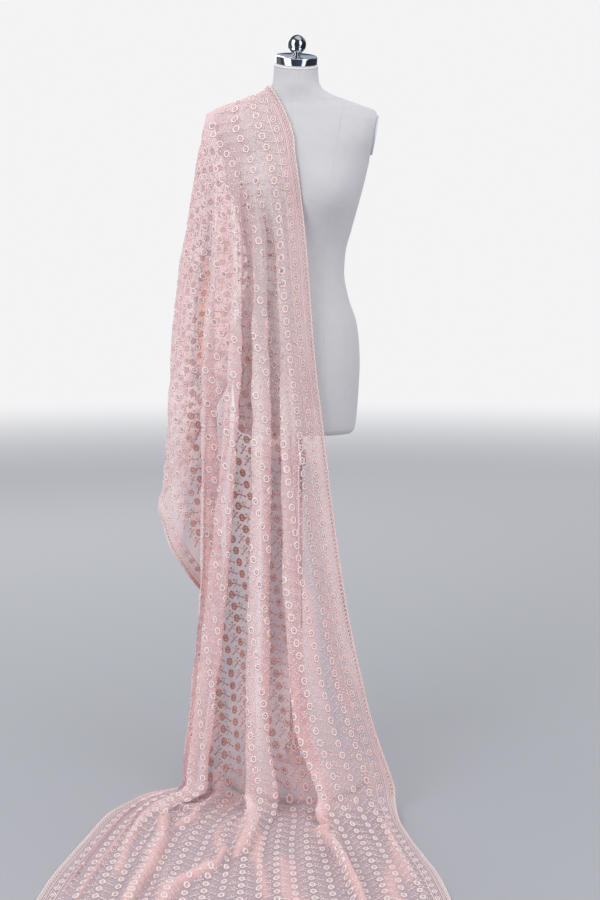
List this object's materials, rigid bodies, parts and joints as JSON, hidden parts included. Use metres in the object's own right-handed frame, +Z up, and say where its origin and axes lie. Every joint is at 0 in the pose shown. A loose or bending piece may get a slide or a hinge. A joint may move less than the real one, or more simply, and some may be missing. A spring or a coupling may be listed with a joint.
{
  "type": "dupatta stole on a limbless dress form",
  "caption": "Long sheer embroidered dupatta stole hung over one shoulder of a limbless dress form, its front end spread on the floor",
  "frame": {"origin": "on the floor, at the middle of the flat underside of the stand's base", "axes": "+Z up; the form faces -Y; +X is the form's left, the bare shoulder's side"},
  "size_m": [0.7868, 0.9644, 1.6798],
  "materials": {
    "torso": "matte woven cover",
    "neck_lip": "satin white",
    "neck_cap": "polished",
    "finial_ball": "polished",
    "arm_plate_right": "matte white",
    "arm_plate_left": "matte white",
    "base": "satin",
    "base_collar": "polished",
    "pole": "polished",
    "pole_clamp": "polished",
    "clamp_knob": "matte black",
    "dupatta_shoulder": "sheer net with pale thread embroidery",
    "dupatta_front_fall": "sheer net with pale thread embroidery",
    "dupatta_side_swag": "sheer net with pale thread embroidery",
    "dupatta_back_fall": "sheer net with pale thread embroidery",
    "dupatta_back_end": "sheer net with pale thread embroidery",
    "dupatta_floor_spread": "sheer net with pale thread embroidery"
  },
  "bodies": {
    "root": {"torso": "torso", "neck_lip": "neck_lip", "neck_cap": "neck_cap", "finial_ball": "finial_ball", "arm_plate_right": "arm_plate_right", "arm_plate_left": "arm_plate_left", "base": "base", "base_collar": "base_collar", "pole": "pole", "pole_clamp": "pole_clamp", "clamp_knob": "clamp_knob", "dupatta_shoulder": "dupatta_shoulder", "dupatta_front_fall": "dupatta_front_fall", "dupatta_side_swag": "dupatta_side_swag", "dupatta_back_fall": "dupatta_back_fall", "dupatta_back_end": "dupatta_back_end", "dupatta_floor_spread": "dupatta_floor_spread"}
  },
  "joints": []
}
